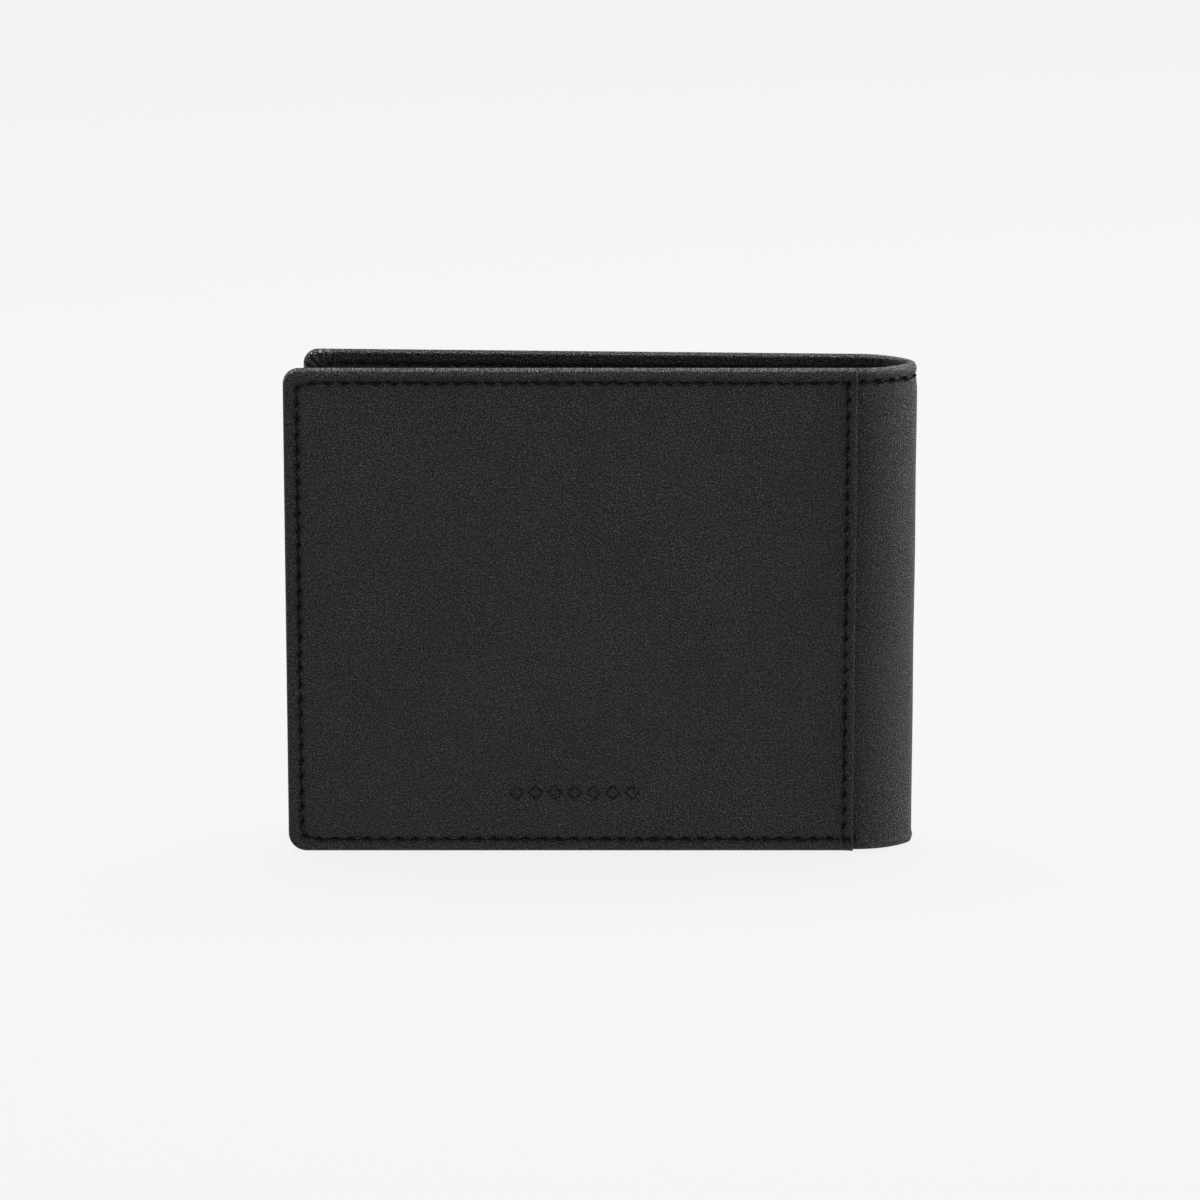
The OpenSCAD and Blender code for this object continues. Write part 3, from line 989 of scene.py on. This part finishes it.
class Nodes:
    """A short way to write a material's node tree."""

    def __init__(self, name, data=None):
        self.material = data or bpy.data.materials.new(name)
        self.material.use_nodes = True
        self.tree = self.material.node_tree
        self.tree.nodes.clear()

    def add(self, kind, inputs=None, **settings):
        node = self.tree.nodes.new("ShaderNode" + kind)
        for key, value in settings.items():
            setattr(node, key, value)
        for key, value in (inputs or {}).items():
            socket = node.inputs[key]
            if isinstance(value, bpy.types.NodeSocket):
                self.tree.links.new(value, socket)
            else:
                socket.default_value = value
        return node

    def math(self, operation, a, b=0.0, c=0.0):
        return self.add("Math", {0: a, 1: b, 2: c}, operation=operation).outputs[0]

    def remap(self, value, lo, hi, to_lo=0.0, to_hi=1.0):
        inputs = {"Value": value, "From Min": lo, "From Max": hi, "To Min": to_lo, "To Max": to_hi}
        return self.add("MapRange", inputs).outputs["Result"]

    def mix(self, share, a, b):
        node = self.add("Mix", data_type="RGBA")
        for socket, value in ((node.inputs[0], share), (node.inputs[6], a), (node.inputs[7], b)):
            if isinstance(value, bpy.types.NodeSocket):
                self.tree.links.new(value, socket)
            else:
                socket.default_value = value
        return node.outputs[2]

    def flat(self, scale=1000.0):
        """The place on the flat material, in units of 1/scale metres."""
        uv = self.add("UVMap", uv_map="flat").outputs[0]
        return self.add("VectorMath", {0: uv, 3: scale}, operation="SCALE").outputs[0]

    def noise(self, vector, scale, detail=3.0, rough=0.55):
        inputs = {"Vector": vector, "Scale": scale, "Detail": detail, "Roughness": rough}
        return self.add("TexNoise", inputs).outputs["Fac"]

    def shade(self, **sockets):
        shader = self.add("BsdfPrincipled", {k.replace("_", " "): v for k, v in sockets.items()})
        self.add("OutputMaterial", {"Surface": shader.outputs[0]})
        return self.material

    def bump(self, height, distance, strength=1.0):
        inputs = {"Height": height, "Distance": distance, "Strength": strength}
        return self.add("Bump", inputs).outputs["Normal"]


def shades(colour, *shares):
    return [(*[c * share for c in colour], 1) for share in shares]


# Leather: sizes are waves per mm of the noises, shares of the colour, and heights in metres.
WARP_SCALE, WARP = 0.9, (0.35, 0.35, 0.35)
PEBBLE_EDGE = 0.3
FINE_SCALE, PORE_SCALE, CLOUD_SCALE, SPECK_SCALE = 2.9, 1.9, 0.045, 1.7
# Dark and pale shares of the colour in the fine grain: grain tone, with painted shade in its hollows
# and painted sheen on its peaks.
GRAIN_SHADE_AND_SHEEN = (0.02, 3.5)
# Share of the colour in the crevices between the grain's cells: painted shade.
CREVICE_SHADE = 0.12
GRAIN_HEIGHT = 0.27 * MM
GRAIN_WORN_OFF = 0.7
# Share of the pale colour where the attribute is full: partly rubbing, partly painted highlight.
WORN_AND_SHEEN_SHARE = 0.35
WORN_GLOSS = 0.2
# How far the fine grain and the clouds change the roughness.
FINE_SWING, CLOUD_SWING = 0.16, 0.12
# Cloth, thread and board: the size of their pattern in mm and its height.
WEAVE, WEAVE_HEIGHT = 0.34, 0.05 * MM
PLY, PLY_HEIGHT = 0.55, 0.05 * MM
FIBRE_HEIGHT = 0.04 * MM
# Fibre board: its fibres from dark to light, and its flecks.
BOARD_SHADES = ((0.16, 0.12, 0.085, 1), (0.34, 0.27, 0.2, 1), (0.09, 0.07, 0.05, 1))


def leather(name, colour, worn_and_sheen, cell, rough):
    """Fine-grained leather: small uneven cells, pores and cloudy tone, with painted shade in the
    crevices and painted sheen on the grain's peaks; paler, smoother edges, partly from rubbing and
    partly as painted highlight.
    """
    n = Nodes(name)
    at = n.flat()
    warp = n.add("TexNoise", {"Vector": at, "Scale": WARP_SCALE, "Detail": 2.0}).outputs["Color"]
    bent = n.add("VectorMath", {0: warp, 1: WARP, 2: at}, operation="MULTIPLY_ADD").outputs[0]
    cells = n.add("TexVoronoi", {"Vector": bent, "Scale": 1 / cell, "Randomness": 0.95},
                  feature="DISTANCE_TO_EDGE").outputs["Distance"]
    pebble = n.remap(cells, 0.0, PEBBLE_EDGE)
    fine = n.noise(at, FINE_SCALE, 3.0, 0.7)
    pores = n.remap(n.noise(at, PORE_SCALE, 2.0), 0.6, 0.7)
    cloud = n.noise(at, CLOUD_SCALE, 4.0, 0.6)
    specks = n.remap(n.noise(at, SPECK_SCALE, 3.0, 0.7), 0.5, 0.72)
    wear = n.add("Attribute", attribute_name="wear").outputs["Fac"]
    height = n.math("MULTIPLY_ADD", fine, 0.9, n.math("MULTIPLY_ADD", pores, -0.6, pebble))
    height = n.math("MULTIPLY", height, n.math("MULTIPLY_ADD", wear, -GRAIN_WORN_OFF, 1.0))
    # Painted shade in the grain's crevices and painted sheen on its peaks, over the grain's own tone.
    dark, light, deep = shades(colour, *GRAIN_SHADE_AND_SHEEN, CREVICE_SHADE)
    tone = n.mix(n.remap(fine, 0.45, 0.59), dark, light)
    tone = n.mix(n.math("MULTIPLY", n.math("SUBTRACT", 1.0, pebble), 0.6), tone, deep)
    cloudy = n.remap(cloud, 0.3, 0.7, 0.82, 1.18)
    tone = n.add("VectorMath", {0: tone, 3: cloudy}, operation="SCALE").outputs[0]
    # Paler where the attribute says: speckled rubbing, and painted highlight on the crests, the
    # pleats' ridges and the pressed marks.
    rubbed_and_sheen = n.math("MULTIPLY", wear, n.math("MULTIPLY_ADD", specks, 0.8, 0.2))
    tone = n.mix(n.math("MULTIPLY", rubbed_and_sheen, WORN_AND_SHEEN_SHARE), tone, (*worn_and_sheen, 1))
    gloss = n.remap(fine, 0.3, 0.7, rough + FINE_SWING, rough - FINE_SWING)
    gloss = n.math("MULTIPLY_ADD", cloud, CLOUD_SWING, n.math("SUBTRACT", gloss, CLOUD_SWING / 2))
    gloss = n.math("MULTIPLY_ADD", wear, -WORN_GLOSS, gloss)
    return n.shade(Base_Color=tone, Roughness=gloss, Normal=n.bump(height, GRAIN_HEIGHT),
                   Specular_IOR_Level=0.3)


def cloth(name, colour):
    """Plain-woven lining: warp and weft threads, with a little fuzz."""
    n = Nodes(name)
    at = n.flat()
    parts = n.add("SeparateXYZ", {0: at}).outputs
    waves = [n.math("SINE", n.math("MULTIPLY", parts[k], math.tau / WEAVE)) for k in (0, 1)]
    over = n.math("MULTIPLY", waves[0], waves[1])
    fuzz = n.noise(at, 7.0)
    tone = n.mix(n.remap(over, -1.0, 1.0), *shades(colour, 0.6, 1.5))
    tone = n.mix(n.math("MULTIPLY", n.noise(at, 0.12), 0.4), tone, *shades(colour, 0.8))
    height = n.math("MULTIPLY_ADD", over, 0.5, fuzz)
    return n.shade(Base_Color=tone, Roughness=n.remap(fuzz, 0.3, 0.7, 0.62, 0.78),
                   Normal=n.bump(height, WEAVE_HEIGHT), Specular_IOR_Level=0.3,
                   Sheen_Weight=0.25, Sheen_Roughness=0.5)


def thread(name, colour):
    """Twisted thread: slanting plies round the stitch."""
    n = Nodes(name)
    at = n.flat()
    parts = n.add("SeparateXYZ", {0: at}).outputs
    turn = n.math("MULTIPLY", parts[1], 2 * math.tau)
    plies = n.math("ABSOLUTE", n.math("SINE", n.math("MULTIPLY_ADD", parts[0], math.tau / PLY, turn)))
    fuzz = n.noise(at, 9.0)
    share = n.math("MULTIPLY_ADD", plies, 0.7, n.math("MULTIPLY", fuzz, 0.3))
    tone = n.mix(share, *shades(colour, 0.35, 1.4))
    return n.shade(Base_Color=tone, Roughness=n.remap(fuzz, 0.3, 0.7, 0.7, 0.85),
                   Normal=n.bump(plies, PLY_HEIGHT), Specular_IOR_Level=0.12)


def bonded_board(name):
    """Board pressed from leather fibres."""
    n = Nodes(name)
    at = n.add("TexCoord").outputs["Object"]
    fibres = n.noise(at, 2600.0, 4.0, 0.7)
    flecks = n.remap(n.noise(at, 900.0, 2.0), 0.55, 0.7)
    dark, light, fleck = BOARD_SHADES
    tone = n.mix(fibres, dark, light)
    tone = n.mix(n.math("MULTIPLY", flecks, 0.5), tone, fleck)
    return n.shade(Base_Color=tone, Roughness=n.remap(fibres, 0.2, 0.8, 0.75, 0.92),
                   Normal=n.bump(fibres, FIBRE_HEIGHT))


FLOOR_GLOW = 0.8545
FLOOR_MATTE = 0.025
WHITE = (1, 1, 1, 1)


def pale_floor(name):
    """Studio floor that is evenly pale, with only a faint shadow where something stands on it."""
    n = Nodes(name)
    glow = n.add("Emission", {"Color": WHITE, "Strength": FLOOR_GLOW})
    matte = n.add("BsdfDiffuse", {"Color": (FLOOR_MATTE, FLOOR_MATTE, FLOOR_MATTE, 1)})
    both = n.add("AddShader", {0: glow.outputs[0], 1: matte.outputs[0]})
    n.add("OutputMaterial", {"Surface": both.outputs[0]})
    return n.material


# ---- camera, floor and light ----

CAMERA_ELEVATION = math.radians(15.3)
CAMERA_DISTANCE = 1.2
CAMERA_SIDE = -0.15 * MM
CAMERA_LENS = 187.7
CAMERA_SENSOR = 36
FLOOR_SIZE = 6.0
WORLD_STRENGTH = 0.2
LAMP_TARGET = Vector((0, 0, 0.05))
# Soft boxes: name, place, width and height, power.
LAMPS = (
    ("top_light", (-0.05, 0.24, 0.93), (1.0, 0.45), 27),
    ("right_light", (0.95, 0.3, 0.3), (1.1, 0.6), 15),
    ("front_light", (0.5, -1.2, 0.8), (0.6, 0.5), 6.3),
)


def add_object(name, data):
    made = bpy.data.objects.new(name, data)
    bpy.context.scene.collection.objects.link(made)
    return made


def make_camera():
    aim = (CAD_BOX[0] + CAD_BOX[1]) / 2 + Vector((CAMERA_SIDE, 0, 0))
    data = bpy.data.cameras.new("camera")
    data.lens, data.sensor_width = CAMERA_LENS, CAMERA_SENSOR
    data.clip_start, data.clip_end = 0.05, 50
    camera = add_object("camera", data)
    back = Vector((0, -math.cos(CAMERA_ELEVATION), math.sin(CAMERA_ELEVATION)))
    camera.location = aim + back * CAMERA_DISTANCE
    camera.rotation_euler = (-back).to_track_quat("-Z", "Y").to_euler()
    bpy.context.scene.camera = camera


def make_floor():
    data = bpy.data.meshes.new("floor")
    bm = bmesh.new()
    bmesh.ops.create_grid(bm, x_segments=4, y_segments=4, size=FLOOR_SIZE)
    bm.to_mesh(data)
    bm.free()
    data.materials.append(pale_floor("floor"))
    floor = add_object("floor", data)
    floor.location.z = CAD_BOX[0].z


def make_lamp(name, place, size, power):
    data = bpy.data.lights.new(name, "AREA")
    data.shape, data.size, data.size_y = "RECTANGLE", size[0], size[1]
    data.energy = power
    lamp = add_object(name, data)
    lamp.location = place
    lamp.rotation_euler = (LAMP_TARGET - Vector(place)).to_track_quat("-Z", "Y").to_euler()


def make_light():
    world = bpy.data.worlds.new("studio")
    n = Nodes("studio", world)
    sky = n.add("Background", {"Color": WHITE, "Strength": WORLD_STRENGTH})
    n.add("OutputWorld", {"Surface": sky.outputs[0]})
    bpy.context.scene.world = world
    for lamp in LAMPS:
        make_lamp(*lamp)
    bpy.context.scene.view_settings.view_transform = "Standard"


# ---- assembly ----


def add_half(half, seam, outer, inner, cloth_look, thread_look, board_look):
    """What both halves have."""
    cover(half, Relief([seam]), outer)
    board(half, board_look)
    lining(half, cloth_look)
    inner_wall(half, cloth_look)
    runs = inner_runs(half)
    inner_panels(half, runs[len(SLOTS) + 1], inner)
    for n in SLOTS:
        card_slot(half, n, runs[n], inner)
    inner_stitches(half, runs, thread_look)


def add_fold(outer, cloth_look, thread_look):
    across = fold_holes()
    relief = Relief([np.stack([across, np.full(len(across), TOP - SEAM_INSET)], axis=1)])
    for bend in range(len(BENDS)):
        fold_leather(bend, relief, outer)
        fold_lining(bend, cloth_look)
        fold_stitches(bend, thread_look)


def seam_stitches(half, runs, material):
    """A half's seams as runs of stitches, each at its level and on the side that shows it."""
    mesh = Mesh()
    for holes, level, outside in runs:
        add_flat_run(mesh, holes, half.place, level, outside)
    dress(mesh, half, "seam_stitches", "seam_thread", material)


def main():
    make_camera()
    make_floor()
    make_light()
    outer = leather("outer_leather", (0.0212, 0.0216, 0.0252), (0.16, 0.155, 0.15), 0.42, 0.44)
    inner = leather("inner_leather", (0.0190, 0.0190, 0.0200), (0.07, 0.07, 0.07), 0.36, 0.5)
    black_thread = thread("thread", (0.0025, 0.0025, 0.0028))
    lining_cloth = cloth("lining", (0.010, 0.010, 0.011))
    fibre_board = bonded_board("board")
    runs = pocket_runs()
    pocket_panel(Relief(runs), outer)
    front_seam, rear_seam = (holes_of(seam_corners(0, half.far_u)) for half in (FRONT, REAR))
    for half, seam in ((FRONT, front_seam), (REAR, rear_seam)):
        add_half(half, seam, outer, inner, lining_cloth, black_thread, fibre_board)
    add_fold(outer, lining_cloth, black_thread)
    front_w, rear_w = POCKET_W - OUTER_THREAD_SINK, OUTER_W - OUTER_THREAD_SINK
    seam_stitches(FRONT, [(run, front_w, 1) for run in runs], black_thread)
    rear_faces = ((rear_w, 1), (HEM_IN_W + REAR_THREAD_SINK, -1))
    seam_stitches(REAR, [(rear_seam, level, outside) for level, outside in rear_faces], black_thread)


main()
